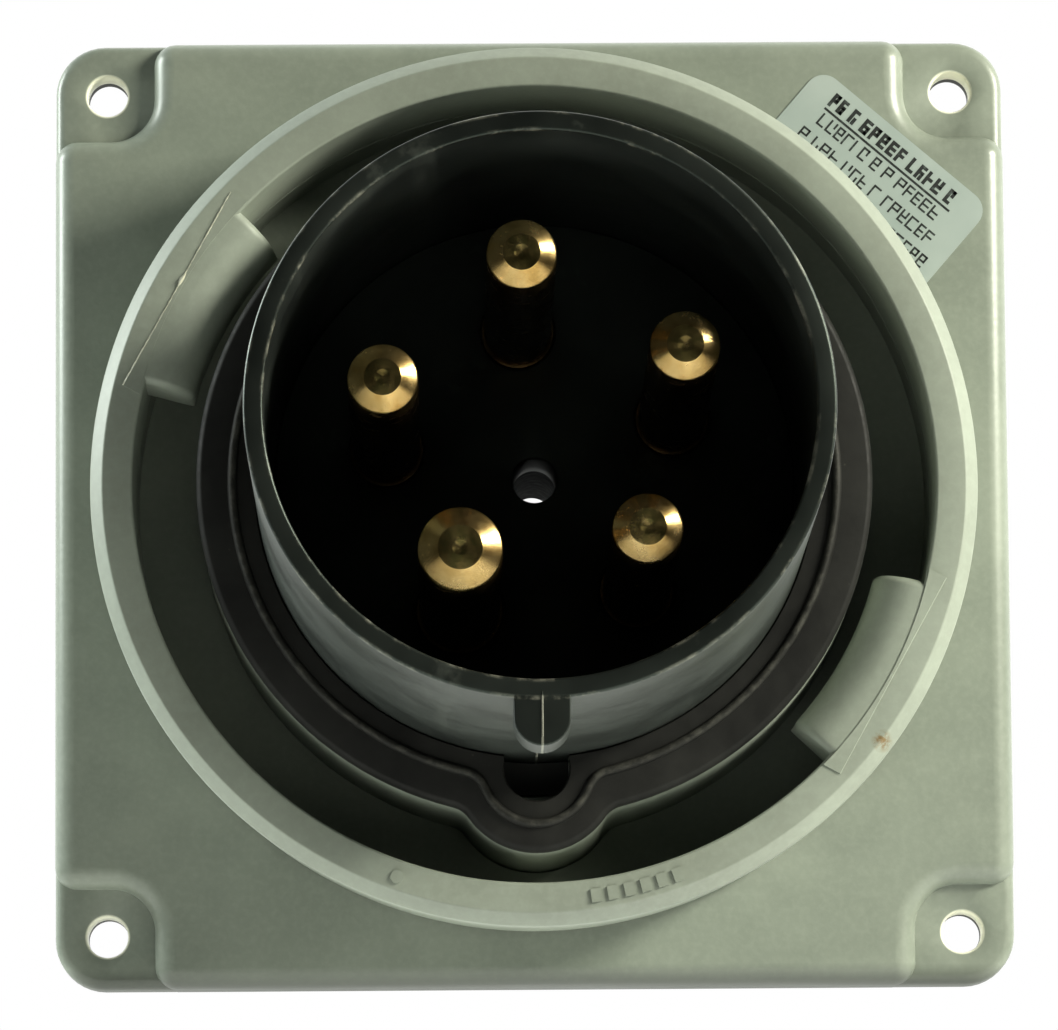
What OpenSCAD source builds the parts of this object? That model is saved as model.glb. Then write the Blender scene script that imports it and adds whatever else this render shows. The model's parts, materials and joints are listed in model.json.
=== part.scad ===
// Flanged pin-and-sleeve power inlet, four poles plus earth, with a turning lock ring.
// Units are millimetres. +Z is up, the front faces -Y, and the origin is the middle of the
// panel surface. Every piece is drawn flat (x right, y up, z out of the panel), then stood up.

/* [Flange] */
// Side of the square flange
flange_side = 146; // [142:1:160]
// Distance between neighbouring mounting holes
hole_pitch = 130; // [128:1:130]
// Radius of each mounting hole
mount_hole_r = 3.1; // [2.5:0.1:3.5]
// Height of the corner pads above the panel
pad_z = 8; // [7:0.5:9]
// Height of the flange face above the panel
face_z = 11; // [10.5:0.5:12]
// Thickness of the sealing sheet behind the flange
back_gasket_t = 2.5; // [1.5:0.5:3]

/* [Lock ring] */
// Outer radius of the ring at its front rim
ring_r = 66.35; // [66:0.05:68]
// Inner radius of the ring
ring_bore_r = 60; // [59.5:0.1:60]
// Height of the ring face above the panel
ring_face_z = 40; // [39:0.5:40]
// Width of each locking lug in degrees
lug_angle = 28.5; // [20:0.5:30]
// Inner radius of the locking lugs
lug_r = 52.7; // [52:0.1:54]

/* [Sleeve and pins] */
// Outer radius of the black sleeve
sleeve_r = 41.5; // [41:0.1:41.5]
// Wall of the sleeve
sleeve_wall = 2.8; // [2.4:0.1:3.4]
// Height of the sleeve rim above the panel
rim_z = 117; // [100:1:125]
// Radius of the pin circle
pin_circle_r = 22.5; // [21.5:0.1:23]
// Radius of the four line pins
line_pin_r = 5; // [4.5:0.1:5.5]
// Radius of the earth pin
earth_pin_r = 6; // [5.6:0.1:6.4]
// How far the pin tips sit inside the rim
tip_recess = 5.5; // [3:0.5:10]

/* [Hidden] */
$fn = 96;
small_fn = 24;
slit = 0.1;
gap = 0.2;
over = 1;

// Flange
edge_r = 2.6;
corner_r = 7.6;
pad_side = 15.2;
pad_corner_r = 6.6;
skin_t = 3.5;
border_t = 5;
hollow_r = 61.5;
rib_t = 2.4;
rib_count = 8;

// Neck: the tube on the flange that carries the insert, with a bulge for the key
neck_r = 50.6;
neck_z = ring_face_z + 0.3;
neck_bore_r = 46.6;
shoulder_z = 34;
key_offset = 43.3;
key_lobe_r = 12.9;
blend_r = 4;
neck_lip_w = 2;
neck_lip_z = 5.5;

// Collar on the flange that the lock ring turns on
collar_r = 62.3;
collar_z = 21;
wire_r = 0.8;
wire_z = 16;
wire_path_r = collar_r + 0.05;
wire_gap_angle = 20;
groove_half = 1.1;
groove_depth = 1.2;
stop_angle = 12;
stop_z = 23.6;
stop_t = 1.1;
collar_seat = 1;

// Lock ring
ring_back_z = face_z + 1;
ring_turn = 30;
ring_grip_r = 64.9;
rim_back_z = 34;
chamfer_w = 1.85;
chamfer_h = 2.2;
lug_middles = [151, -29];
lug_floor_z = 27;
lug_fall_r = 7;
lug_slope = 4;
flute_count = 48;
flute_r = 1.6;
flute_depth = 0.9;
flute_low_z = 19;
flute_top_z = rim_back_z + 0.6;
mark_w = 0.35;
mark_depth = 0.3;
chord_half = 16.7;
edge_break = 0.5;

// Face gasket round the sleeve
gasket_t = 2.7;
gasket_r = 50.4;
gasket_lobe_r = 12.4;
notch_r = 4.85;
bead_r = 45.7;
bead_w = 1.5;
bead_h = 0.8;
bead_lobe_r = 8.4;

// Sleeve with its floor and mounting lip
floor_z = 41;
insert_back_z = 28;
lip_r = 46.4;
seal_t = 0.8;
face_r = sleeve_r - sleeve_wall - 0.05;
key_w = 8;
key_rise = 6.6;
key_len = 10;
pilot_r = 3.3;

// Pins
tip_z = rim_z - tip_recess;
tip_cone_h = 2.2;
tip_flat = 0.53;
dimple_r = 1.1;
pin_root_step = 0.4;
pin_collar_r = 9.2;
pin_collar_low = 20;
pin_seal_t = 1;
barrel_r = 8;
barrel_end = -20;
wire_bore_r = 5.25;
wire_bore_top = 3.5;

// Carrier and terminal block behind the sleeve
carrier_low = 14;
block_r = 40;
block_low = -1;
barrier_end = -22;
barrier_t = 2.4;
barrier_reach = 32;
hub_r = 9;
hub_bore_r = 6.8;

// Screws
clamp_z = -12;
clamp_r = 4;
clamp_len = 6.5;
clamp_tip = 6.5;
hex_r = 2.3;
insert_screw_ring = 43.6;
block_screw_ring = 36;
screw_r = 1.5;
head_r = 2.8;
head_t = 3;
insert_screw_angles = [60, 132, 204, 348];
block_screw_angles = [60, 204, 348];

// Rating label
label_w = 34;
label_h = 18.8;
label_t = 0.15;
label_r = 3;
label_edge_r = 81.5;
label_edge_angle = 44.7;
label_tilt = 49.3;

// Pin angles, counter-clockwise seen from the front
pin_step = 72;
angle_l1 = 96;
angle_l2 = angle_l1 - pin_step;
angle_l3 = angle_l2 - pin_step;
angle_earth = angle_l3 - pin_step;
angle_neutral = angle_l1 + pin_step;
pin_angles = [angle_l1, angle_l2, angle_l3, angle_neutral, angle_earth];

// ---- helpers ----

// Stands a flat-drawn piece up so that its outward direction faces -Y
module stand() {
    rotate([90, 0, 0])
        children();
}

// A disc between two heights
module disc(r, low, high) {
    translate([0, 0, low])
        cylinder(r = r, h = high - low);
}

// A tube between two heights
module tube(r_out, r_in, low, high) {
    difference() {
        disc(r_out, low, high);
        disc(r_in, low - over, high + over);
    }
}

// Puts its children at a radius and an angle
module at_polar(r, angle) {
    rotate([0, 0, angle])
        translate([r, 0, 0])
            children();
}

// Repeats its children at all five pin places
module at_pins() {
    for (angle = pin_angles)
        at_polar(pin_circle_r, angle)
            children();
}

// Repeats its children at the four mounting holes
module at_corners() {
    for (sx = [-1, 1])
        for (sy = [-1, 1])
            translate([sx * hole_pitch / 2, sy * hole_pitch / 2, 0])
                children();
}

// Square with rounded corners, as a flat shape
module rounded_square(side, r) {
    inner = side - 2 * r;
    square([side, inner], center = true);
    square([inner, side], center = true);
    for (sx = [-1, 1])
        for (sy = [-1, 1])
            translate([sx * inner / 2, sy * inner / 2])
                circle(r = r);
}

// Rectangle with rounded corners, as a flat shape
module rounded_rectangle(w, h, r) {
    square([w, h - 2 * r], center = true);
    square([w - 2 * r, h], center = true);
    for (sx = [-1, 1])
        for (sy = [-1, 1])
            translate([sx * (w / 2 - r), sy * (h / 2 - r)])
                circle(r = r);
}

// Round outline with a bulge at the bottom that makes room for the key
module lobed_outline(r, lobe_r) {
    fill_r = blend_r;
    reach_a = r + fill_r;
    reach_b = lobe_r + fill_r;
    dy = (reach_a * reach_a - reach_b * reach_b + key_offset * key_offset) / (2 * key_offset);
    dx = sqrt(reach_a * reach_a - dy * dy);
    circle(r = r);
    translate([0, -key_offset])
        circle(r = lobe_r);
    difference() {
        polygon([[0, 0], [-dx, -dy], [0, -key_offset], [dx, -dy]]);
        for (side = [-1, 1])
            translate([side * dx, -dy])
                circle(r = fill_r);
    }
}

// Slot with a round end that lets the key of the mating part pass
module key_notch(r) {
    translate([0, -key_offset])
        circle(r = r);
    translate([-r, -key_offset])
        square([2 * r, key_offset - sleeve_r / 2]);
}

// ---- flange ----

// Cuts a rounded edge along one side of the flange face
module edge_cutter() {
    for (turn = [0:90:270])
        rotate([0, 0, turn])
            translate([flange_side / 2 - edge_r, 0, face_z - edge_r])
                rotate([90, 0, 0])
                    linear_extrude(height = flange_side + 2 * over, center = true)
                        difference() {
                            square(edge_r + over);
                            circle(r = edge_r);
                        }
}

// Cuts the lowered pads at the four corners
module pad_cutter() {
    start = flange_side / 2 - pad_side;
    size = pad_side + over;
    for (turn = [0:90:270])
        rotate([0, 0, turn])
            translate([start, start, pad_z])
                linear_extrude(height = face_z)
                    union() {
                        translate([pad_corner_r, 0])
                            square([size - pad_corner_r, size]);
                        translate([0, pad_corner_r])
                            square([size, size - pad_corner_r]);
                        translate([pad_corner_r, pad_corner_r])
                            circle(r = pad_corner_r);
                    }
}

// Hollows the back of the flange, leaving a border, corner blocks and ribs
module back_hollow() {
    inner = flange_side - 2 * border_t;
    block = pad_side + 2;
    translate([0, 0, back_gasket_t - over])
        linear_extrude(height = face_z - skin_t - back_gasket_t + over)
            difference() {
                square(inner, center = true);
                circle(r = hollow_r);
                for (sx = [-1, 1])
                    for (sy = [-1, 1])
                        translate([sx * flange_side / 2, sy * flange_side / 2])
                            square(2 * block, center = true);
                for (i = [0:rib_count - 1])
                    rotate(i * 360 / rib_count)
                        translate([0, -rib_t / 2])
                            square([flange_side, rib_t]);
            }
}

// Outline of the neck, widened all round
module neck_outline(extra) {
    lobed_outline(neck_r + extra, key_lobe_r + extra);
}

// Stepped hole in the flange that the neck and its lip fill
module neck_seat() {
    linear_extrude(height = face_z + over)
        neck_outline(slit);
    linear_extrude(height = neck_lip_z + slit)
        neck_outline(neck_lip_w + slit);
}

module flange_housing() {
    color("#7d8a7b")
        stand()
            difference() {
                translate([0, 0, back_gasket_t])
                    linear_extrude(height = face_z - back_gasket_t)
                        rounded_square(flange_side, corner_r);
                edge_cutter();
                pad_cutter();
                back_hollow();
                neck_seat();
                tube(collar_r, ring_bore_r, face_z - collar_seat, face_z + over);
                at_corners()
                    disc(mount_hole_r, 0, face_z);
            }
}

// Tube that carries the insert, with a shoulder inside, a lip behind and a notch for the key
module neck() {
    color("#7d8a7b")
        stand()
            difference() {
                union() {
                    translate([0, 0, back_gasket_t])
                        linear_extrude(height = neck_z - back_gasket_t)
                            neck_outline(0);
                    translate([0, 0, back_gasket_t])
                        linear_extrude(height = neck_lip_z - back_gasket_t)
                            neck_outline(neck_lip_w);
                }
                disc(sleeve_r + gap, 0, neck_z + over);
                disc(neck_bore_r, 0, shoulder_z);
                translate([0, 0, shoulder_z - over])
                    linear_extrude(height = neck_z)
                        key_notch(notch_r);
                for (angle = insert_screw_angles)
                    at_polar(insert_screw_ring, angle)
                        disc(screw_r, shoulder_z - over, shoulder_z + 5);
            }
}

// Collar that the lock ring turns on, with a groove for the wire and a stop tab
module ring_collar() {
    color("#6f7b6d")
        stand() {
            difference() {
                tube(collar_r, ring_bore_r, face_z - collar_seat, collar_z);
                translate([0, 0, wire_z])
                    rotate_extrude()
                        translate([wire_path_r, 0])
                            circle(r = wire_r + slit, $fn = small_fn);
            }
            rotate([0, 0, 90 - stop_angle / 2])
                translate([0, 0, collar_z - slit])
                    rotate_extrude(angle = stop_angle)
                        translate([collar_r - slit - stop_t, 0])
                            square([stop_t, stop_z - collar_z + slit]);
        }
}

module flange_gasket() {
    color("#23231f")
        stand()
            linear_extrude(height = back_gasket_t)
                difference() {
                    rounded_square(flange_side - 1, corner_r);
                    circle(r = neck_bore_r + 1);
                    for (sx = [-1, 1])
                        for (sy = [-1, 1])
                            translate([sx * hole_pitch / 2, sy * hole_pitch / 2])
                                circle(r = mount_hole_r);
                }
}

// ---- lock ring ----

// Half section of the ring body
module ring_section() {
    inner_low = collar_z + 0.6;
    polygon([
        [collar_r + slit, wire_z + groove_half],
        [collar_r + groove_depth, wire_z + groove_half],
        [collar_r + groove_depth, wire_z - groove_half],
        [collar_r + slit, wire_z - groove_half],
        [collar_r + slit, ring_back_z],
        [ring_grip_r, ring_back_z],
        [ring_grip_r, rim_back_z],
        [ring_r, rim_back_z + chamfer_h / 2],
        [ring_r, ring_face_z - chamfer_h],
        [ring_r - chamfer_w, ring_face_z],
        [ring_bore_r + edge_break, ring_face_z],
        [ring_bore_r, ring_face_z - edge_break],
        [ring_bore_r, inner_low],
        [collar_r + slit, inner_low]
    ]);
}

// Half section of a lug: level at the ring and falling away towards its inner edge
module lug_section() {
    root = ring_bore_r + 1;
    low = lug_floor_z - 2;
    flat_r = lug_r + lug_fall_r;
    translate([lug_r, low])
        square([root - lug_r, ring_face_z - lug_fall_r - low]);
    translate([flat_r, low])
        square([root - flat_r, ring_face_z - low]);
    translate([flat_r, ring_face_z - lug_fall_r])
        intersection() {
            circle(r = lug_fall_r);
            translate([-lug_fall_r, 0])
                square(lug_fall_r);
        }
}

// One lug, with the sloped back that pulls the mating part in as the ring turns
module lug(middle) {
    cutter = 10;
    rotate([0, 0, middle])
        difference() {
            rotate([0, 0, -lug_angle / 2])
                rotate_extrude(angle = lug_angle)
                    lug_section();
            translate([lug_r / 2, 0, lug_floor_z])
                rotate([lug_slope, 0, 0])
                    translate([0, -lug_r / 2, -cutter])
                        cube([lug_r, lug_r, cutter]);
        }
}

// Fine line that the mould leaves on the ring face beside a lug
module lug_line(middle) {
    rotate([0, 0, middle])
        translate([ring_bore_r + edge_break + mark_w, 0, ring_face_z]) {
            cube([mark_w, 2 * chord_half, 2 * mark_depth], center = true);
            for (side = [-1, 1])
                translate([-1.4, side * chord_half, 0])
                    cube([2.8, mark_w, 2 * mark_depth], center = true);
        }
}

// Pocket in the ring that the stop tab moves in; its two ends stop the ring
module stop_pocket() {
    free = 1;
    side_free = 0.45;
    end_free = 0.6;
    into_bore = 0.3;
    low = collar_z;
    rotate([0, 0, 90 - stop_angle / 2 - free])
        translate([0, 0, low])
            rotate_extrude(angle = stop_angle + ring_turn + 2 * free)
                translate([collar_r - stop_t - side_free, 0])
                    square([stop_t + side_free + into_bore, stop_z - low + end_free]);
}

// Shallow grip grooves on the side of the ring, behind its rim
module grip_cutter() {
    for (i = [0:flute_count - 1])
        at_polar(ring_grip_r + flute_r - flute_depth, i * 360 / flute_count)
            disc(flute_r, flute_low_z, flute_top_z, $fn = small_fn);
}

module locking_ring() {
    color("#8d9a88")
        stand()
            difference() {
                union() {
                    rotate_extrude()
                        ring_section();
                    for (middle = lug_middles)
                        lug(middle);
                }
                for (middle = lug_middles)
                    lug_line(middle);
                stop_pocket();
                grip_cutter();
            }
}

module ring_retainer() {
    color("#b9bcc0")
        stand()
            translate([0, 0, wire_z])
                rotate([0, 0, wire_gap_angle / 2 - 90])
                    rotate_extrude(angle = 360 - wire_gap_angle)
                        translate([wire_path_r, 0])
                            circle(r = wire_r, $fn = small_fn);
}

// ---- gaskets and seals ----

// Raised bead on the front of the face gasket
module gasket_bead() {
    translate([0, 0, neck_z + gasket_t - slit])
        linear_extrude(height = bead_h + slit)
            difference() {
                lobed_outline(bead_r, bead_lobe_r + bead_w / 2);
                lobed_outline(bead_r - bead_w, bead_lobe_r - bead_w / 2);
            }
}

module face_gasket() {
    color("#2b2a26")
        stand()
            difference() {
                union() {
                    translate([0, 0, neck_z])
                        linear_extrude(height = gasket_t)
                            lobed_outline(gasket_r, gasket_lobe_r);
                    gasket_bead();
                }
                disc(sleeve_r + slit / 2, neck_z - over, neck_z + 2 * gasket_t);
                translate([0, 0, neck_z - over])
                    linear_extrude(height = 3 * gasket_t)
                        key_notch(notch_r);
            }
}

module insert_seal() {
    color("#1d1d1d")
        stand()
            difference() {
                tube(lip_r, sleeve_r + gap, shoulder_z - seal_t, shoulder_z);
                for (angle = insert_screw_angles)
                    at_polar(insert_screw_ring, angle)
                        disc(screw_r + gap, 0, shoulder_z + over);
            }
}

module pin_seals() {
    low = insert_back_z - pin_seal_t;
    color("#1d1d1d")
        stand()
            for (angle = pin_angles)
                at_polar(pin_circle_r, angle)
                    tube(pin_collar_r, pin_r(angle) + pin_root_step + slit, low, insert_back_z);
}

// ---- sleeve ----

// Guide key under the front end of the sleeve, with a round outer edge
module guide_key() {
    key_tip = sleeve_r + key_rise - key_w / 2;
    translate([0, 0, rim_z - key_len])
        linear_extrude(height = key_len) {
            translate([0, -key_tip])
                circle(r = key_w / 2);
            translate([-key_w / 2, -key_tip])
                square([key_w, key_tip - sleeve_r + sleeve_wall / 2]);
        }
}

module sleeve() {
    color("#1c1f1f")
        stand()
            difference() {
                union() {
                    tube(sleeve_r, sleeve_r - sleeve_wall, insert_back_z, rim_z);
                    tube(lip_r, sleeve_r - over, insert_back_z, shoulder_z - seal_t);
                    guide_key();
                }
                for (angle = insert_screw_angles)
                    at_polar(insert_screw_ring, angle)
                        disc(screw_r + slit, 0, shoulder_z);
            }
}

// Disc at the bottom of the sleeve that the pins stand in
module insert_face() {
    color("#161818")
        stand()
            difference() {
                disc(face_r, insert_back_z, floor_z);
                for (angle = pin_angles)
                    at_polar(pin_circle_r, angle)
                        disc(pin_r(angle) + pin_root_step + slit, 0, floor_z + over);
                disc(pilot_r, 0, floor_z + over);
            }
}

// ---- pins and terminals ----

// Radius of the contact part of the pin at an angle
function pin_r(angle) = angle == angle_earth ? earth_pin_r : line_pin_r;

// Half section of a pin: coned tip, contact part, collar and wire barrel
module pin_section(r) {
    polygon([
        [0, wire_bore_top],
        [wire_bore_r, wire_bore_top],
        [wire_bore_r, barrel_end],
        [barrel_r, barrel_end],
        [barrel_r, pin_collar_low],
        [pin_collar_r, pin_collar_low],
        [pin_collar_r, insert_back_z - pin_seal_t],
        [r + pin_root_step, insert_back_z - pin_seal_t],
        [r + pin_root_step, floor_z],
        [r, floor_z],
        [r, tip_z - tip_cone_h],
        [r * tip_flat, tip_z],
        [dimple_r, tip_z],
        [0, tip_z - dimple_r]
    ]);
}

// One pin with the cross hole for its clamp screw
module pin(angle) {
    color("#b08d45")
        stand()
            at_polar(pin_circle_r, angle)
                difference() {
                    rotate([0, 0, 180])
                        rotate_extrude()
                            pin_section(pin_r(angle));
                    translate([0, 0, clamp_z])
                        rotate([0, 90, 0])
                            cylinder(r = clamp_r, h = 2 * barrel_r);
                }
}

module pin_l1() {
    pin(angle_l1);
}

module pin_l2() {
    pin(angle_l2);
}

module pin_l3() {
    pin(angle_l3);
}

module pin_neutral() {
    pin(angle_neutral);
}

module pin_earth() {
    pin(angle_earth);
}

// Insulating disc that holds the collars of the pins against the sleeve floor
module pin_carrier() {
    color("#2c2f30")
        stand()
            difference() {
                disc(lip_r, carrier_low, insert_back_z);
                at_pins() {
                    disc(barrel_r + slit, 0, insert_back_z);
                    disc(pin_collar_r + slit, pin_collar_low, insert_back_z + over);
                }
                disc(pilot_r, 0, insert_back_z + over);
                for (angle = insert_screw_angles)
                    at_polar(insert_screw_ring, angle)
                        disc(screw_r + slit, 0, insert_back_z + over);
                for (angle = block_screw_angles)
                    at_polar(block_screw_ring, angle)
                        disc(screw_r, 0, carrier_low + 8);
            }
}

// Insulating disc behind the carrier that steadies the wire barrels
module terminal_block() {
    color("#34383a")
        stand()
            difference() {
                disc(block_r, block_low, carrier_low);
                at_pins()
                    disc(barrel_r + slit, block_low - over, carrier_low + over);
                disc(pilot_r, block_low - over, carrier_low + over);
                for (angle = block_screw_angles)
                    at_polar(block_screw_ring, angle)
                        disc(screw_r + slit, block_low - over, carrier_low + over);
            }
}

// Star of thin walls that keeps the wires of neighbouring barrels apart
module phase_barriers() {
    length = block_low - slit - barrier_end;
    wall_start = hub_r - barrier_t / 2;
    hub_end = barrier_end - 1;
    color("#34383a")
        stand()
            difference() {
                union() {
                    disc(hub_r, hub_end, block_low);
                    for (angle = pin_angles)
                        rotate([0, 0, angle + pin_step / 2])
                            translate([wall_start, -barrier_t / 2, barrier_end])
                                cube([barrier_reach - wall_start, barrier_t, length]);
                }
                disc(hub_bore_r, hub_end - over, block_low + over);
            }
}

// ---- screws ----

// Set screw that clamps the wire in one barrel; its outer end has a hexagon socket
module clamp_screw(angle) {
    color("#c4c6c8")
        stand()
            at_polar(pin_circle_r, angle)
                translate([clamp_tip, 0, clamp_z])
                    rotate([0, 90, 0])
                        difference() {
                            union() {
                                cylinder(r = clamp_r - 0.05, h = clamp_len);
                                translate([0, 0, -over])
                                    cylinder(r = clamp_r / 2, h = 2 * over);
                            }
                            translate([0, 0, clamp_len / 2])
                                cylinder(r = hex_r, h = clamp_len, $fn = 6);
                        }
}

module clamp_screw_l1() {
    clamp_screw(angle_l1);
}

module clamp_screw_l2() {
    clamp_screw(angle_l2);
}

module clamp_screw_l3() {
    clamp_screw(angle_l3);
}

module clamp_screw_neutral() {
    clamp_screw(angle_neutral);
}

module clamp_screw_earth() {
    clamp_screw(angle_earth);
}

// Screw with a pan head at its low end and a straight slot
module screw(head_top, shank_top) {
    difference() {
        union() {
            disc(head_r, head_top - head_t, head_top);
            disc(screw_r - 0.05, head_top - over, shank_top);
        }
        translate([0, 0, head_top - head_t])
            cube([3 * head_r, 0.8, 2.4], center = true);
    }
}

module insert_screws() {
    color("#c4c6c8")
        stand()
            for (angle = insert_screw_angles)
                at_polar(insert_screw_ring, angle)
                    screw(carrier_low, shoulder_z + 4);
}

module block_screws() {
    color("#c4c6c8")
        stand()
            for (angle = block_screw_angles)
                at_polar(block_screw_ring, angle)
                    screw(block_low, carrier_low + 7);
}

// ---- label ----

module rating_label() {
    color("#a9b6b4")
        stand()
            at_polar(label_edge_r, label_edge_angle)
                rotate([0, 0, label_tilt - label_edge_angle])
                    translate([-label_h / 2, 0, face_z])
                        linear_extrude(height = label_t)
                            rounded_rectangle(label_h, label_w, label_r);
}

flange_housing();
flange_gasket();
neck();
ring_collar();
locking_ring();
ring_retainer();
face_gasket();
sleeve();
insert_face();
insert_seal();
pin_seals();
pin_carrier();
terminal_block();
phase_barriers();
pin_l1();
pin_l2();
pin_l3();
pin_neutral();
pin_earth();
clamp_screw_l1();
clamp_screw_l2();
clamp_screw_l3();
clamp_screw_neutral();
clamp_screw_earth();
insert_screws();
block_screws();
rating_label();
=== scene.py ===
"""Visual model of a flanged five-pin power inlet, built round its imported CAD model.

Shapes are drawn flat, in millimetres: x right, y up, z out of the panel. stand() turns a
flat point into a point of the row frame, in metres, where the front faces -Y and +Z is up.
"""

import json
import math
import random

import bmesh
import bpy
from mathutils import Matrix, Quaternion, Vector


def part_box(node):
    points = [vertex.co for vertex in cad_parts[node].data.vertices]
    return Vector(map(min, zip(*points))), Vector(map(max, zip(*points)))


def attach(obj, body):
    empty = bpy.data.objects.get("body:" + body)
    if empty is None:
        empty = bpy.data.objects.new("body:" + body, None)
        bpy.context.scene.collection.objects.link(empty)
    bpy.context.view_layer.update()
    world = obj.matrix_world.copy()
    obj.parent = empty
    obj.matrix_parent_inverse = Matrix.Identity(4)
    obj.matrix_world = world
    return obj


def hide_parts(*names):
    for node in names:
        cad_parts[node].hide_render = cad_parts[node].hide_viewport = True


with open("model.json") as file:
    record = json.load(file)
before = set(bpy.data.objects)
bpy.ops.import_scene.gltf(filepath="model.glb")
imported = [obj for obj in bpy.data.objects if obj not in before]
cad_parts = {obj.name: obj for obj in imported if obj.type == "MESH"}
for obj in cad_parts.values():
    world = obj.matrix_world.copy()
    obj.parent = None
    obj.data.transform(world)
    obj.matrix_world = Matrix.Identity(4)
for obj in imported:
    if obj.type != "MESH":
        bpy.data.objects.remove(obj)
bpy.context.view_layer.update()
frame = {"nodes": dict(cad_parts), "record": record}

MM = 0.001
INLET = "inlet"
LOCK_RING = "lock_ring"

# -------- sizes from the frame


def flat_box(node):
    """Lowest and highest flat corner of a CAD node, in millimetres."""
    low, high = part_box(node)
    return (
        Vector((low.x, low.z, -high.y)) / MM,
        Vector((high.x, high.z, -low.y)) / MM,
    )


def mount(name):
    """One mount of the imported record."""
    for entry in frame["record"]["mounts"]:
        if entry["name"] == name:
            return entry
    raise ValueError(f"the record has no mount named {name}")


FLANGE_LOW, FLANGE_HIGH = flat_box("flange_housing")
RING_LOW, RING_HIGH = flat_box("locking_ring")
SLEEVE_LOW, SLEEVE_HIGH = flat_box("sleeve")
COLLAR_LOW, COLLAR_HIGH = flat_box("ring_collar")
LABEL_LOW, LABEL_HIGH = flat_box("rating_label")
_, GASKET_HIGH = flat_box("face_gasket")
_, NECK_HIGH = flat_box("neck")
_, FACE_HIGH = flat_box("insert_face")
_, PIN_HIGH = flat_box("pin_l1")

# Raised details start this far inside the face they stand on
SINK = 0.05
# Small chamfer or rounding on edges that nothing touches
CHAMFER = 0.3
# Sides of a large turned shape
ROUND_STEPS = 256

# Flange
HALF_SIDE = FLANGE_HIGH.x
BACK_Z = FLANGE_LOW.z
FACE_Z = FLANGE_HIGH.z
PAD_Z = FACE_Z - 3.0
PAD_START = HALF_SIDE - 15.2
PAD_CORNER_R = 6.6
PLATE_CORNER_R = 7.6
EDGE_R = 3.2
PAD_EDGE_R = 1.6
HOLE_PITCH = mount("panel_screws")["dims"]["spacing_x_mm"]
HOLE_R = mount("panel_screws")["dims"]["hole_r_mm"]
HOLES = [(sx * HOLE_PITCH / 2, sy * HOLE_PITCH / 2) for sx in (-1, 1) for sy in (-1, 1)]

# Neck and gasket outline: a circle with a bulge at the bottom that clears the key.
# The gasket lies flush with the visible neck, a little inside the CAD neck's radius.
KEY_OFFSET = 43.3
NECK_R = 50.6
NECK_EDGE_R = 0.35
NECK_CLEARANCE = 0.2
MIDDLE_LAP = 6.0
NECK_LOBE_R = 12.9
NECK_Z = NECK_HIGH.z
NECK_BORE_R = 46.6
SHOULDER_Z = 34.0
BLEND_R = 4.0
NOTCH_R = 4.85
GASKET_R = GASKET_HIGH.x
GASKET_LOBE_R = NECK_LOBE_R - 0.5
GASKET_FACE_Z = NECK_Z + 2.7
BEAD_R = 45.0
BEAD_W = 1.5
BEAD_LOBE_R = 8.2

# Lock ring
RING_R = 66.35
RING_Z = RING_HIGH.z
RING_BACK_Z = RING_LOW.z
RING_BORE_R = 60.0
GRIP_R = 64.9
RIM_BACK_Z = 34.0
CHAMFER_W = 1.85
CHAMFER_H = 2.2
COLLAR_R = COLLAR_HIGH.x
COLLAR_Z = COLLAR_HIGH.z - 2.6
WIRE_R = 0.8
WIRE_Z = 16.0
STOP_ANGLE = 12.0
TAB_RADII = (COLLAR_R - 1.2, COLLAR_R - 0.1)
POCKET_ANGLES = (83.0, 127.0)
POCKET_R = COLLAR_R - 1.55
POCKET_Z = COLLAR_HIGH.z + 0.6
LUG_MIDDLES = (151.0, -29.0)
LUG_ANGLE = 28.5
LUG_R = 52.7
LUG_BACK_Z = 27.0
LUG_FALL = 7.0
LUG_SLOPE = 4.0
CHORD_HALF = 16.7
CHORD_X = RING_BORE_R + 0.85
PLATEAU_RISE = 0.2
MARK_DOT_ANGLE = -109.4
MARK_FIRST_ANGLE = -82.0
MARK_STEP = 2.3
MARK_COUNT = 6
MARK_TALL = 2.0
MARK_RISE = 0.3
STAIN = (51.4, -39.2)
FLUTES = 48
FLUTE_R = 1.6
FLUTE_DEPTH = 0.9
FLUTE_LOW_Z = 19.0

# Sleeve
SLEEVE_R = 41.5
SLEEVE_WALL = 2.8
RIM_Z = SLEEVE_HIGH.z
FLOOR_Z = FACE_HIGH.z
INSERT_BACK_Z = SLEEVE_LOW.z
LIP_R = SLEEVE_HIGH.x
LIP_TOP_Z = 33.2
KEY_W = 8.0
KEY_TIP = -SLEEVE_LOW.y
KEY_LEN = 10.0
PILOT_R = 3.3
PIN_CLEARANCE = 0.5

# Pins: name, contact mount and radius come from the record
PIN_NAMES = ("l1", "l2", "l3", "neutral", "earth")
TIP_Z = PIN_HIGH.z
TIP_CONE_H = 2.2
TIP_FLAT = 0.53
DIMPLE_R = 1.1
DIMPLE_DEPTH = 0.12
ROOT_STEP = 0.4
PIN_COLLAR_R = 9.2
PIN_COLLAR_TOP = 27.0
PIN_COLLAR_LOW = 20.0
BARREL_R = 8.0
WIRE_BORE_R = 5.25
WIRE_BORE_TOP = 3.5
CLAMP_R = 4.0
CLAMP_Z = -12.0
TURNING_RINGS = 60000

# Label
LABEL_W = 34.0
LABEL_H = 18.8
LABEL_T = LABEL_HIGH.z - LABEL_LOW.z
LABEL_R = 3.0
LABEL_EDGE_R = 81.5
LABEL_EDGE_ANGLE = 44.7
LABEL_TILT = 49.3
LABEL_FIRST = 2.75
LABEL_PITCH = 3.5
LABEL_LINES = ((25.0, 2.4), (23.8, 2.1), (26.5, 2.1), (30.4, 2.1))

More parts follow.
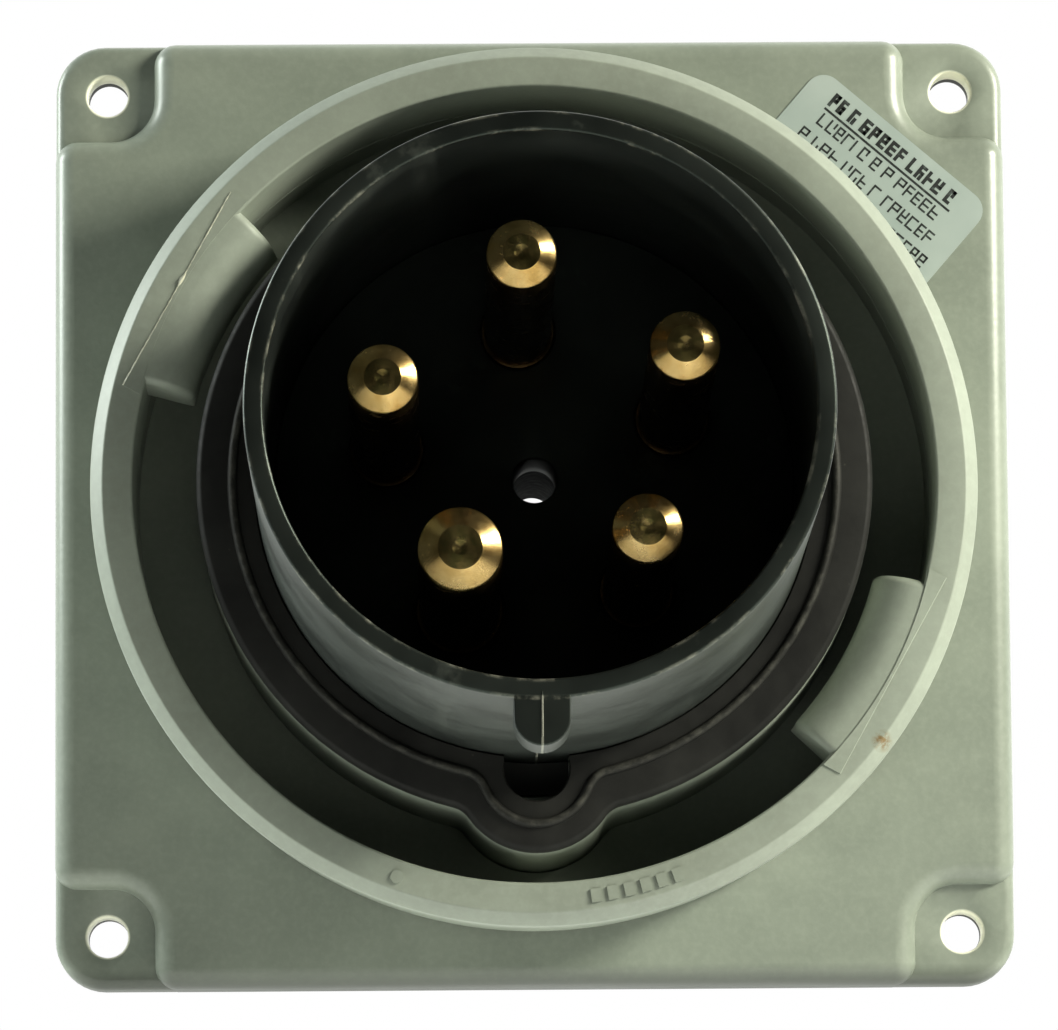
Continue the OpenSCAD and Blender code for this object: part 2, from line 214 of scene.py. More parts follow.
# Camera: aim point in millimetres, angles in degrees
CAMERA_AIM = (-0.482, -8.0, -0.575)
CAMERA_DISTANCE = 1201.68
CAMERA_AZIMUTH = -0.628
CAMERA_ELEVATION = -7.951
CAMERA_ROLL = 0.4285
CAMERA_LENS = 266.87
FLOOR_HEIGHT = -0.30
LIGHT_DISTANCE = 0.8
WORLD_LIGHT = 0.02
BACKDROP_LIGHT = 1.6


def pin_place(name):
    """Flat centre of a pin and its radius, in millimetres."""
    entry = mount("contact_" + name)
    x, _, z = entry["pos_m"]
    return x / MM, z / MM, entry["dims"]["r_mm"]


# -------- flat geometry helpers


def stand(x, y, z):
    """A flat point in millimetres as a point of the row frame in metres."""
    return Vector((x, -z, y)) * MM


def polar(r, degrees):
    """Flat point at a radius and an angle."""
    a = math.radians(degrees)
    return Vector((r * math.cos(a), r * math.sin(a)))


def arc(centre, r, start, end, steps, inward=False):
    """(point, outward normal) pairs along an arc; inward flips the normals."""
    side = -1 if inward else 1
    pairs = []
    for i in range(steps + 1):
        direction = polar(1, start + (end - start) * i / steps)
        pairs.append((Vector(centre) + direction * r, direction * side))
    return pairs


def inset(outline, distance):
    """The outline's points, moved inwards by a distance."""
    return [point - normal * distance for point, normal in outline]


def circle_outline(r, steps=128):
    """A full circle as an outline, without its repeated end."""
    return arc((0, 0), r, 0, 360, steps)[:-1]


def rounded_corners(points, radii, steps=5):
    """A polyline with each inner corner rounded to its own radius."""
    out = [Vector(points[0])]
    for i in range(1, len(points) - 1):
        before, here, after = (Vector(p) for p in points[i - 1:i + 2])
        r = radii[i]
        if not r:
            out.append(here)
            continue
        to_before = (before - here).normalized()
        to_after = (after - here).normalized()
        half = to_before.angle(to_after) / 2
        reach = min(r / math.tan(half), (before - here).length * 0.49, (after - here).length * 0.49)
        r = reach * math.tan(half)
        centre = here + (to_before + to_after).normalized() * (r / math.sin(half))
        start = here + to_before * reach - centre
        end = here + to_after * reach - centre
        turn = start.angle_signed(end)
        for k in range(steps + 1):
            a = -turn * k / steps
            out.append(centre + Vector((
                start.x * math.cos(a) - start.y * math.sin(a),
                start.x * math.sin(a) + start.y * math.cos(a),
            )))
    out.append(Vector(points[-1]))
    return out


def rounded_box_outline(half_x, half_y, r, steps):
    """Rectangle with rounded corners."""
    pairs = []
    for k, (sign_x, sign_y) in enumerate(((1, 1), (-1, 1), (-1, -1), (1, -1))):
        centre = (sign_x * (half_x - r), sign_y * (half_y - r))
        pairs += arc(centre, r, 90 * k, 90 * k + 90, steps)
    return pairs


def turned_point(x, y, degrees):
    """A flat point turned about the origin."""
    a = math.radians(degrees)
    return Vector((x * math.cos(a) - y * math.sin(a), x * math.sin(a) + y * math.cos(a)))


def turned(pairs, degrees):
    """An outline turned about the origin."""
    return [
        (turned_point(p.x, p.y, degrees), turned_point(n.x, n.y, degrees))
        for p, n in pairs
    ]


def raised_face_outline():
    """Outline of the raised flange face: a square without its four corner pads."""
    crisp = EDGE_R + 0.15
    start = PAD_START
    quarter = arc((HALF_SIDE - crisp, start - crisp), crisp, 0, 90, 6)
    inner = start + PAD_CORNER_R
    quarter += arc((inner, inner), PAD_CORNER_R, 270, 180, 12, inward=True)
    quarter += arc((start - crisp, HALF_SIDE - crisp), crisp, 0, 90, 6)
    pairs = []
    for k in range(4):
        pairs += turned(quarter, 90 * k)
    return pairs


def lobed_outline(r, lobe_r):
    """Circle with a bulge at the bottom, joined by two hollow blends."""
    reach_a = r + BLEND_R
    reach_b = lobe_r + BLEND_R
    dy = (reach_a ** 2 - reach_b ** 2 + KEY_OFFSET ** 2) / (2 * KEY_OFFSET)
    dx = math.sqrt(reach_a ** 2 - dy ** 2)
    meet_big = math.degrees(math.atan2(-dy, dx))
    meet_lobe = math.degrees(math.atan2(KEY_OFFSET - dy, dx))
    pairs = arc((0, 0), r, meet_big, 180 - meet_big, 120)
    pairs += arc((-dx, -dy), BLEND_R, -meet_big, -meet_lobe, 8, inward=True)[1:]
    pairs += arc((0, -KEY_OFFSET), lobe_r, 180 - meet_lobe, 360 + meet_lobe, 28)[1:]
    pairs += arc((dx, -dy), BLEND_R, 180 + meet_lobe, 180 + meet_big, 8, inward=True)[1:-1]
    return pairs


def notched_outline(r):
    """Circle with a round-ended slot at the bottom for the key."""
    half = math.degrees(math.asin(NOTCH_R / r))
    pairs = arc((0, 0), r, -90 + half, 270 - half, 112)
    pairs += [(Vector((-NOTCH_R, -KEY_OFFSET)), Vector((-1, 0)))]
    pairs += arc((0, -KEY_OFFSET), NOTCH_R, 180, 360, 14)[1:]
    return pairs


# -------- mesh helpers


def add_loop(bm, points, z):
    """A ring of vertices at one height; z may be a number or one number per point."""
    heights = z if isinstance(z, (list, tuple)) else [z] * len(points)
    return [bm.verts.new(stand(p.x, p.y, h)) for p, h in zip(points, heights)]


def join_loops(bm, low, high):
    """Quads between two loops with the same number of vertices."""
    for i in range(len(low)):
        k = (i + 1) % len(low)
        bm.faces.new((low[i], low[k], high[k], high[i]))


def loft(bm, loops, back_to_start=False):
    """Quads through a row of loops."""
    for low, high in zip(loops, loops[1:]):
        join_loops(bm, low, high)
    if back_to_start:
        join_loops(bm, loops[-1], loops[0])


def fill_between(bm, *loops):
    """A flat face inside the first loop, with the other loops as holes."""
    edges = []
    for loop in loops:
        for i, vert in enumerate(loop):
            other = loop[(i + 1) % len(loop)]
            edges.append(bm.edges.get((vert, other)) or bm.edges.new((vert, other)))
    bmesh.ops.triangle_fill(bm, use_beauty=True, use_dissolve=False, edges=edges)


def cap(bm, loop):
    """One face across a loop."""
    bm.faces.new(loop)


def closed_loft(bm, loops):
    """A loft with a face across each end."""
    loft(bm, loops)
    cap(bm, loops[0])
    cap(bm, loops[-1])


def prism(bm, outline, low, high):
    """A straight solid with the same flat points at both heights."""
    closed_loft(bm, [add_loop(bm, outline, low), add_loop(bm, outline, high)])


def lathe(bm, profile, centre=(0, 0), steps=128, back_to_start=False):
    """A turned shape from (radius, z) points round a flat centre."""
    loops = []
    for r, z in profile:
        points = [Vector(centre) + polar(r, 360 * i / steps) for i in range(steps)]
        loops.append(add_loop(bm, points, z))
    loft(bm, loops, back_to_start=back_to_start)
    return loops


def finish_piece(bm, name, material, body, cad_nodes, sharp=35.0):
    """Turns a bmesh into a piece that rides on a body and stands for CAD nodes."""
    bmesh.ops.remove_doubles(bm, verts=bm.verts, dist=1e-7)
    bmesh.ops.recalc_face_normals(bm, faces=bm.faces)
    mesh = bpy.data.meshes.new(name)
    bm.to_mesh(mesh)
    bm.free()
    mesh.materials.append(material)
    mesh.shade_smooth()
    mesh.set_sharp_from_angle(angle=math.radians(sharp))
    obj = bpy.data.objects.new(name, mesh)
    bpy.context.scene.collection.objects.link(obj)
    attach(obj, body)
    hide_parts(*cad_nodes)
    return obj


# -------- material helpers


def ramp(tree, value, low, high, out_low, out_high):
    """Node that maps a range of values onto another, clamped."""
    node = tree.nodes.new("ShaderNodeMapRange")
    node.inputs["From Min"].default_value = low
    node.inputs["From Max"].default_value = high
    node.inputs["To Min"].default_value = out_low
    node.inputs["To Max"].default_value = out_high
    tree.links.new(value, node.inputs["Value"])
    return node


class Nodes:
    """Short calls for building one node material."""

    def __init__(self, name):
        self.material = bpy.data.materials.new(name)
        self.material.use_nodes = True
        self.tree = self.material.node_tree
        self.shader = self.tree.nodes["Principled BSDF"]
        coordinates = self.tree.nodes.new("ShaderNodeTexCoord")
        self.place = coordinates.outputs["Object"]

    def link(self, source, target):
        self.tree.links.new(source, target)

    def constant(self, socket_name, number):
        """Sets one constant straight on the shader."""
        self.shader.inputs[socket_name].default_value = number

    def noise(self, scale, detail=3.0, rough=0.5, stretch=None):
        """Noise in object space; stretch gives a scale for each axis."""
        node = self.tree.nodes.new("ShaderNodeTexNoise")
        node.inputs["Scale"].default_value = scale
        node.inputs["Detail"].default_value = detail
        node.inputs["Roughness"].default_value = rough
        place = self.place
        if stretch:
            mapping = self.tree.nodes.new("ShaderNodeMapping")
            mapping.inputs["Scale"].default_value = stretch
            self.link(self.place, mapping.inputs["Vector"])
            place = mapping.outputs["Vector"]
        self.link(place, node.inputs["Vector"])
        return node.outputs["Fac"]

    def speckle(self, scale):
        """Distance to the nearest of many scattered points."""
        node = self.tree.nodes.new("ShaderNodeTexVoronoi")
        node.inputs["Scale"].default_value = scale
        self.link(self.place, node.inputs["Vector"])
        return node.outputs["Distance"]

    def axis(self, index):
        """One coordinate in metres."""
        node = self.tree.nodes.new("ShaderNodeSeparateXYZ")
        self.link(self.place, node.inputs["Vector"])
        return node.outputs[index]

    def math(self, operation, a, b=0.0):
        """A math node between two sockets or numbers."""
        node = self.tree.nodes.new("ShaderNodeMath")
        node.operation = operation
        for socket, term in zip(node.inputs, (a, b)):
            if isinstance(term, (int, float)):
                socket.default_value = term
            else:
                self.link(term, socket)
        return node.outputs[0]

    def both(self, a, b):
        """Product of two masks."""
        return self.math("MULTIPLY", a, b)

    def radius(self, x=0.0, z=0.0):
        """Distance in metres from an axis along Y at (x, z), also in metres."""
        dx = self.math("SUBTRACT", self.axis(0), x)
        dz = self.math("SUBTRACT", self.axis(2), z)
        return self.math("SQRT", self.math("ADD", self.both(dx, dx), self.both(dz, dz)))

    def band(self, value, low, high, out_low=0.0, out_high=1.0):
        """Maps a range of values onto another, clamped."""
        return ramp(self.tree, value, low, high, out_low, out_high).outputs["Result"]

    def rising(self, start, full):
        """Mask that goes from 0 to 1 between two flat z levels."""
        return self.band(self.axis(1), -start * MM, -full * MM)

    def near(self, x, y, full, end):
        """Mask that goes from 1 to 0 between two distances from a flat point."""
        return self.band(self.radius(x * MM, y * MM), full * MM, end * MM, 1.0, 0.0)

    def mix(self, factor, a, b):
        """Colour a where factor is 0 and b where it is 1."""
        node = self.tree.nodes.new("ShaderNodeMix")
        node.data_type = "RGBA"
        self.link(factor, node.inputs["Factor"])
        for socket, colour in ((node.inputs["A"], a), (node.inputs["B"], b)):
            if isinstance(colour, tuple):
                socket.default_value = (*colour, 1.0)
            else:
                self.link(colour, socket)
        return node.outputs["Result"]

    def colour(self, source):
        self.link(source, self.shader.inputs["Base Color"])

    def rough(self, source):
        self.link(source, self.shader.inputs["Roughness"])

    def bump(self, height, strength, distance):
        node = self.tree.nodes.new("ShaderNodeBump")
        node.inputs["Strength"].default_value = strength
        node.inputs["Distance"].default_value = distance
        self.link(height, node.inputs["Height"])
        previous = self.shader.inputs["Normal"]
        if previous.is_linked:
            self.link(previous.links[0].from_socket, node.inputs["Normal"])
        self.link(node.outputs["Normal"], previous)


def grey_plastic(name, pale, dark, grain, roughness=(0.3, 0.42), stain=None, holes=()):
    """Grey-green moulded plastic: mottling, grime, dusty specks, a stain, painted light on the hole walls,
    painted shade along the lower edge.
    """
    n = Nodes(name)
    mottle = n.noise(38, detail=5, rough=0.62)
    colour = n.mix(n.band(mottle, 0.35, 0.68), dark, pale)
    fine = n.noise(grain, detail=2, rough=0.6)
    colour = n.mix(n.band(fine, 0.42, 0.7, 0.0, 0.16), colour, tuple(min(1, c * 1.35) for c in pale))
    grime = n.noise(15, detail=6, rough=0.72)
    colour = n.mix(n.band(grime, 0.56, 0.78, 0.0, 0.35), colour, tuple(c * 0.72 for c in dark))
    specks = n.band(n.speckle(150), 0.0, 0.055, 1.0, 0.0)
    rare = n.band(n.noise(60, detail=1), 0.6, 0.68)
    colour = n.mix(n.both(specks, rare), colour, (0.72, 0.74, 0.68))
    if stain:
        spot = n.near(*stain, 0.6, 1.8)
        ragged = n.band(n.noise(700, detail=5, rough=0.8), 0.42, 0.56)
        colour = n.mix(n.both(spot, ragged), colour, (0.16, 0.1, 0.035))
    # Painted light: the walls of the mounting holes are painted pale, standing in for light coming through
    # them.
    for place in holes:
        wall = n.near(*place, HOLE_R + 0.1, HOLE_R + 0.4)
        colour = n.mix(wall, colour, (0.8, 0.8, 0.66))
    if holes:
        # Painted shade: the flange's lower edge is painted dark.
        painted_lower_shade = n.band(n.axis(2), -(HALF_SIDE - EDGE_R) * MM, -HALF_SIDE * MM, 0.0, 0.92)
        colour = n.mix(painted_lower_shade, colour, (0.02, 0.023, 0.02))
    n.colour(colour)
    n.rough(n.band(mottle, 0.3, 0.7, *roughness))
    n.bump(fine, 0.28, 0.00008)
    n.bump(n.noise(22, detail=3), 0.12, 0.0006)
    n.constant("Specular IOR Level", 0.5)
    return n.material


def black_sleeve():
    """Half-gloss black moulding: painted shade on the rim front, rubbed rim edges that also carry a painted
    highlight, a painted highlight line on the key, streaks down the side.
    """
    n = Nodes("sleeve_black")
    grain = n.noise(420, detail=3, rough=0.6)
    cloud = n.noise(45, detail=4, rough=0.6)
    colour = n.mix(n.band(cloud, 0.35, 0.7), (0.010, 0.0115, 0.0108), (0.030, 0.034, 0.031))
    outer = n.band(n.radius(), (SLEEVE_R - 0.55) * MM, (SLEEVE_R - 0.05) * MM)
    beyond = n.near(0, 0, SLEEVE_R + 0.1, SLEEVE_R + 0.3)
    outer = n.both(outer, beyond)
    inner = n.near(0, 0, SLEEVE_R - SLEEVE_WALL + 0.05, SLEEVE_R - SLEEVE_WALL + 0.6)
    front = n.rising(RIM_Z - 1.2, RIM_Z - 0.3)
    broken = n.band(n.noise(260, detail=5, rough=0.75), 0.5, 0.66)
    # Painted shade: the front face of the rim is painted darker.
    colour = n.mix(n.both(front, 0.68), colour, (0.004, 0.005, 0.0045))
    # The rim's edges are painted pale: partly rubbed wear, partly a painted highlight.
    edge = n.both(n.math("MAXIMUM", outer, inner), n.both(front, broken))
    colour = n.mix(n.both(edge, 0.4), colour, (0.36, 0.35, 0.29))
    # Painted highlight: a pale line down the middle of the key, along its parting ridge.
    centred = n.band(n.math("ABSOLUTE", n.axis(0)), 0.00012, 0.0002, 1.0, 0.0)
    on_key = n.band(n.axis(2), -(SLEEVE_R - 0.6) * MM, -(SLEEVE_R - 0.2) * MM)
    colour = n.mix(n.both(centred, on_key), colour, (0.2, 0.2, 0.17))
    streak = n.noise(90, detail=5, rough=0.7, stretch=(1.0, 0.06, 1.0))
    colour = n.mix(n.band(streak, 0.6, 0.74, 0.0, 0.3), colour, (0.12, 0.13, 0.115))
    n.colour(colour)
    n.rough(n.band(cloud, 0.3, 0.7, 0.3, 0.48))
    n.bump(grain, 0.25, 0.00006)
    n.bump(streak, 0.2, 0.00012)
    n.constant("Specular IOR Level", 0.4)
    n.constant("Specular Tint", (0.84, 1.0, 0.9, 1.0))
    return n.material


def insulator():
    """Dark mineral-filled moulding with pale flecks."""
    n = Nodes("insulator")
    fine = n.noise(700, detail=3)
    cloud = n.noise(60, detail=4)
    colour = n.mix(n.band(cloud, 0.35, 0.7), (0.006, 0.0065, 0.007), (0.015, 0.016, 0.017))
    flecks = n.band(n.speckle(520), 0.0, 0.16, 0.5, 0.0)
    colour = n.mix(flecks, colour, (0.05, 0.052, 0.05))
    n.colour(colour)
    n.rough(n.band(fine, 0.3, 0.7, 0.6, 0.8))
    n.bump(fine, 0.3, 0.0001)
    n.constant("Specular IOR Level", 0.08)
    return n.material


def moulded_rubber():
    """Black rubber; its raised bead is paler, partly dusty and partly a painted highlight."""
    n = Nodes("gasket_rubber")
    fine = n.noise(520, detail=4, rough=0.7)
    cloud = n.noise(70, detail=5, rough=0.65)
    colour = n.mix(n.band(cloud, 0.36, 0.68), (0.0052, 0.0052, 0.0048), (0.0145, 0.0145, 0.0132))
    # The top of the bead is painted paler: partly dusty, partly a painted highlight.
    top = n.rising(GASKET_FACE_Z + 0.35, GASKET_FACE_Z + 0.75)
    dust_and_sheen = n.band(fine, 0.45, 0.65, 0.15, 0.8)
    colour = n.mix(n.both(top, dust_and_sheen), colour, (0.056, 0.055, 0.047))
    grit = n.band(n.speckle(420), 0.0, 0.09, 0.55, 0.0)
    colour = n.mix(n.both(grit, n.band(cloud, 0.5, 0.6)), colour, (0.1, 0.095, 0.08))
    n.colour(colour)
    n.rough(n.band(fine, 0.3, 0.7, 0.5, 0.7))
    n.bump(fine, 0.3, 0.0001)
    n.constant("Specular IOR Level", 0.16)
    return n.material


def sheet_rubber():
    """Cut black rubber sheet with a faint calender grain."""
    n = Nodes("sheet_rubber")
    grain = n.noise(300, detail=4, stretch=(1.0, 1.0, 0.12))
    colour = n.mix(n.band(grain, 0.35, 0.7), (0.010, 0.010, 0.010), (0.028, 0.028, 0.026))
    n.colour(colour)
    n.rough(n.band(grain, 0.3, 0.7, 0.62, 0.82))
    n.bump(grain, 0.35, 0.00015)
    return n.material


def turned_brass(name, x, y, r):
    """Lathe-turned brass: fine rings round the pin's own axis, a tarnished flat tip and painted shade
    darkening the shank below the tip.
    """
    n = Nodes(name)
    rings = n.math("SINE", n.both(n.radius(x * MM, y * MM), TURNING_RINGS))
    cloud = n.noise(230, detail=5, rough=0.7)
    colour = n.mix(n.band(cloud, 0.35, 0.7), (0.52, 0.33, 0.11), (0.86, 0.62, 0.28))
    flat = n.near(x, y, r * TIP_FLAT - 0.12, r * TIP_FLAT + 0.04)
    at_tip = n.rising(TIP_Z - 0.3, TIP_Z - 0.1)
    tarnish = n.both(flat, at_tip)
    patchy = n.band(n.noise(900, detail=4, rough=0.7), 0.38, 0.62, 0.55, 1.0)
    colour = n.mix(n.both(tarnish, patchy), colour, (0.19, 0.165, 0.055))
    spots = n.band(n.noise(640, detail=5, rough=0.8), 0.62, 0.72, 0.0, 0.6)
    colour = n.mix(spots, colour, (0.11, 0.07, 0.025))
    # Painted shade: below the tip cone, the shank inside the sleeve is painted dark brown.
    shank = n.rising(TIP_Z - TIP_CONE_H, TIP_Z - 9)
    in_sleeve = n.rising(FLOOR_Z - 1, FLOOR_Z)
    painted_shank_shade = n.mix(n.band(cloud, 0.35, 0.7), (0.10, 0.06, 0.025), (0.19, 0.12, 0.05))
    colour = n.mix(n.both(shank, in_sleeve), colour, painted_shank_shade)
    n.colour(colour)
    n.rough(n.band(cloud, 0.3, 0.7, 0.18, 0.3))
    n.bump(rings, 0.55, 0.00001)
    n.constant("Metallic", 1.0)
    return n.material


def zinc_steel():
    """Zinc-plated steel with dull patches."""
    n = Nodes("zinc_steel")
    cloud = n.noise(260, detail=5, rough=0.7)
    colour = n.mix(n.band(cloud, 0.35, 0.7), (0.34, 0.35, 0.37), (0.62, 0.63, 0.62))
    n.colour(colour)
    n.rough(n.band(cloud, 0.3, 0.7, 0.24, 0.44))
    n.bump(n.noise(900, detail=2), 0.2, 0.00004)
    n.constant("Metallic", 1.0)
    return n.material


def label_film():
    """Pale blue-grey printed film."""
    n = Nodes("label_film")
    cloud = n.noise(55, detail=4)
    colour = n.mix(n.band(cloud, 0.35, 0.7), (0.29, 0.345, 0.33), (0.375, 0.425, 0.405))
    smear = n.noise(160, detail=4, stretch=(1.0, 1.0, 0.3))
    colour = n.mix(n.band(smear, 0.6, 0.72, 0.0, 0.3), colour, (0.27, 0.33, 0.31))
    n.colour(colour)
    n.rough(n.band(smear, 0.3, 0.7, 0.3, 0.5))
    n.bump(n.noise(500, detail=2), 0.15, 0.00005)
    return n.material


def label_ink():
    """Dark print, thin in places."""
    n = Nodes("label_ink")
    worn = n.noise(900, detail=4, rough=0.7)
    n.colour(n.mix(n.band(worn, 0.55, 0.75), (0.012, 0.014, 0.014), (0.08, 0.1, 0.095)))
    n.rough(n.band(worn, 0.3, 0.7, 0.4, 0.6))
    return n.material


def floor_paint():
    """Plain pale floor with a trace of unevenness."""
    n = Nodes("floor_paint")
    cloud = n.noise(3, detail=3)
    n.colour(n.mix(n.band(cloud, 0.3, 0.7), (0.78, 0.78, 0.77), (0.84, 0.84, 0.83)))
    n.rough(n.band(cloud, 0.3, 0.7, 0.6, 0.75))
    return n.material


housing_plastic = grey_plastic(
    "housing_grey", (0.238, 0.266, 0.222), (0.188, 0.212, 0.178), 900, holes=HOLES,
)
ring_plastic = grey_plastic(
    "ring_grey", (0.279, 0.311, 0.262), (0.224, 0.248, 0.208), 700, (0.46, 0.58), STAIN,
)
flash_plastic = grey_plastic("flash_pale", (0.62, 0.61, 0.48), (0.42, 0.42, 0.33), 1500)
sleeve_plastic = black_sleeve()
insulator_plastic = insulator()
gasket_rubber = moulded_rubber()
seal_rubber = sheet_rubber()
steel = zinc_steel()
film = label_film()
ink = label_ink()


# -------- flange


def rounded_edge(r, steps=6):
    """(inset, drop) pairs down a rounded edge, from the face to the side."""
    pairs = []
    for i in range(steps + 1):
        a = math.pi / 2 * i / steps
        pairs.append((r * (1 - math.sin(a)), r * (1 - math.cos(a))))
    return pairs


def slab_with_holes(bm, outline, low, high, holes, edge_r, hole_edge):
    """A plate between two heights; holes is a list of (centre, radius) pairs."""
    loops = [add_loop(bm, inset(outline, d), high - h) for d, h in rounded_edge(edge_r, 4)]
    loops.append(add_loop(bm, inset(outline, 0), low))
    loft(bm, loops)
    tops = [loops[0]]
    lows = [loops[-1]]
    for centre, r in holes:
        profile = [(r + hole_edge, high), (r + hole_edge * 0.3, high - hole_edge * 0.3)]
        profile += [(r, high - hole_edge), (r, low)]
        rings = lathe(bm, profile, centre, steps=48)
        tops.append(rings[0])
        lows.append(rings[-1])
    fill_between(bm, *tops)
    fill_between(bm, *lows)


def flange_plate():
    """Raised flange face with its rounded edge, open in the middle for the neck."""
    bm = bmesh.new()
    outline = raised_face_outline()
    loops = [add_loop(bm, inset(outline, d), FACE_Z - h) for d, h in rounded_edge(EDGE_R)]
    loops.append(add_loop(bm, inset(outline, 0), BACK_Z))
    loft(bm, loops)
    hole = inset(lobed_outline(NECK_R, NECK_LOBE_R), 0.3)
    hole_top = add_loop(bm, hole, FACE_Z)
    hole_low = add_loop(bm, hole, BACK_Z)
    join_loops(bm, hole_low, hole_top)
    fill_between(bm, loops[0], hole_top)
    fill_between(bm, loops[-1], hole_low)
    finish_piece(bm, "flange_plate", housing_plastic, INLET, ["flange_housing"])


def flange_pads():
    """Lowered corner pads with the four mounting holes."""
    bm = bmesh.new()
    half = HALF_SIDE - 0.03
    holes = [(place, HOLE_R) for place in HOLES]
    holes.append(((0, 0), NECK_R + MIDDLE_LAP))
    outline = rounded_box_outline(half, half, PLATE_CORNER_R, 10)
    slab_with_holes(bm, outline, BACK_Z, PAD_Z, holes, edge_r=PAD_EDGE_R, hole_edge=0.5)
    finish_piece(bm, "flange_pads", housing_plastic, INLET, ["flange_housing"])


def neck():
    """Tube behind the gasket that carries the insert, with a groove that lets the key pass."""
    bm = bmesh.new()
    outer = lobed_outline(GASKET_R, GASKET_LOBE_R)
    loops = [add_loop(bm, inset(outer, d), NECK_Z - h) for d, h in rounded_edge(NECK_EDGE_R, 3)]
    loops.append(add_loop(bm, inset(outer, 0), BACK_Z))
    loft(bm, loops)
    notched = inset(notched_outline(SLEEVE_R + NECK_CLEARANCE), 0)
    ledge = [p.normalized() * max(NECK_BORE_R, p.length + 0.02) for p in notched]
    bore = [p.normalized() * NECK_BORE_R for p in notched]
    inner = [
        add_loop(bm, notched, NECK_Z),
        add_loop(bm, notched, SHOULDER_Z),
        add_loop(bm, ledge, SHOULDER_Z),
        add_loop(bm, ledge, SHOULDER_Z - 1),
        add_loop(bm, bore, SHOULDER_Z - 1.02),
        add_loop(bm, bore, BACK_Z),
    ]
    loft(bm, inner)
    fill_between(bm, loops[0], inner[0])
    fill_between(bm, loops[-1], inner[-1])
    finish_piece(bm, "neck_tube", housing_plastic, INLET, ["neck"])


# -------- lock ring and its collar


def wire_groove(r, towards, steps=6):
    """(radius, z) points of the half-round groove that the retaining wire runs in."""
    points = []
    for i in range(steps + 1):
        a = math.pi * (i / steps - 0.5)
        points.append((COLLAR_R + 0.05 + towards * r * math.cos(a), WIRE_Z + r * math.sin(a)))
    return points


def ring_collar():
    """Collar that the lock ring turns on, with its stop tab."""
    bm = bmesh.new()
    low = COLLAR_LOW.z
    profile = [(COLLAR_R, low)]
    profile += wire_groove(WIRE_R + 0.1, -1)
    profile += [(COLLAR_R, COLLAR_Z - CHAMFER), (COLLAR_R - CHAMFER, COLLAR_Z)]
    profile += [(RING_BORE_R + CHAMFER, COLLAR_Z), (RING_BORE_R, COLLAR_Z - CHAMFER)]
    profile += [(RING_BORE_R, low)]
    lathe(bm, profile, steps=ROUND_STEPS, back_to_start=True)
    tab = [polar_arc(r, 90 - STOP_ANGLE / 2, 90 + STOP_ANGLE / 2, 10) for r in TAB_RADII]
    outline = tab[1] + tab[0][::-1]
    prism(bm, outline, COLLAR_Z - 0.5, COLLAR_HIGH.z)
    finish_piece(bm, "collar", housing_plastic, INLET, ["ring_collar"])


def polar_arc(r, start, end, steps):
    """Flat points along an arc round the origin."""
    return [polar(r, start + (end - start) * i / steps) for i in range(steps + 1)]


def ring_angles():
    """Angles round the ring: fine steps across each flute and at the ends of the stop pocket."""
    half_width = math.sqrt(FLUTE_R ** 2 - (FLUTE_R - FLUTE_DEPTH) ** 2)
    half = math.degrees(half_width / GRIP_R)
    pitch = 360 / FLUTES
    angles = []
    for k in range(FLUTES):
        middle = k * pitch
        angles += [middle + half * f for f in (-1, -0.72, -0.4, 0, 0.4, 0.72, 1)]
        gap = pitch - 2 * half
        angles += [middle + half + gap * f for f in (0.25, 0.5, 0.75)]
    for edge in POCKET_ANGLES:
        angles += [edge - 0.01, edge + 0.01]
    return sorted(angle % 360 for angle in angles)


def flute_depth(degrees):
    """How far the ring side is cut back at an angle."""
    pitch = 360 / FLUTES
    off = (degrees + pitch / 2) % pitch - pitch / 2
    across = math.radians(off) * GRIP_R
    if abs(across) >= FLUTE_R:
        return 0.0
    return max(0.0, FLUTE_DEPTH - FLUTE_R + math.sqrt(FLUTE_R ** 2 - across ** 2))


def ring_body(bm):
    """The turned ring with flutes behind its rim and a pocket for the stop tab."""
    edge = 0.45
    step_z = COLLAR_Z + 0.6
    start = [(COLLAR_R + 0.1, RING_BACK_Z + 0.3)]
    start += wire_groove(WIRE_R + 0.3, 1)
    start += [(COLLAR_R + 0.1, step_z)]
    front = rounded_corners(
        [
            (RING_BORE_R, step_z), (RING_BORE_R, RING_Z), (RING_R - CHAMFER_W, RING_Z),
            (RING_R, RING_Z - CHAMFER_H), (RING_R, RIM_BACK_Z + 1.1), (GRIP_R, RIM_BACK_Z),
        ],
        (0, edge, 0.5, 0.6, 0.4, 0),
    )
    end = [(GRIP_R, RING_BACK_Z + 0.4), (GRIP_R - 0.4, RING_BACK_Z)]
    end += [(COLLAR_R + 0.4, RING_BACK_Z)]
    pocket = [(COLLAR_R + 0.1, POCKET_Z), (POCKET_R, POCKET_Z), (POCKET_R, step_z)]
    side = [(GRIP_R, RIM_BACK_Z - 0.1), (GRIP_R, FLUTE_LOW_Z + 0.1), (GRIP_R, FLUTE_LOW_Z)]
    rows = [(r, z, "plain") for r, z in start]
    rows += [(r, z, "pocket") for r, z in pocket]
    rows += [(r, z, "plain") for r, z in front]
    rows += [(r, z, kind) for (r, z), kind in zip(side, ("flute", "flute", "plain"))]
    rows += [(r, z, "plain") for r, z in end]
    angles = ring_angles()
    loops = []
    for r, z, kind in rows:
        points = []
        heights = []
        for degrees in angles:
            in_pocket = POCKET_ANGLES[0] < degrees < POCKET_ANGLES[1]
            points.append(polar(r - (flute_depth(degrees) if kind == "flute" else 0), degrees))
            heights.append(step_z if kind == "pocket" and not in_pocket else z)
        loops.append(add_loop(bm, points, heights))
    loft(bm, loops, back_to_start=True)


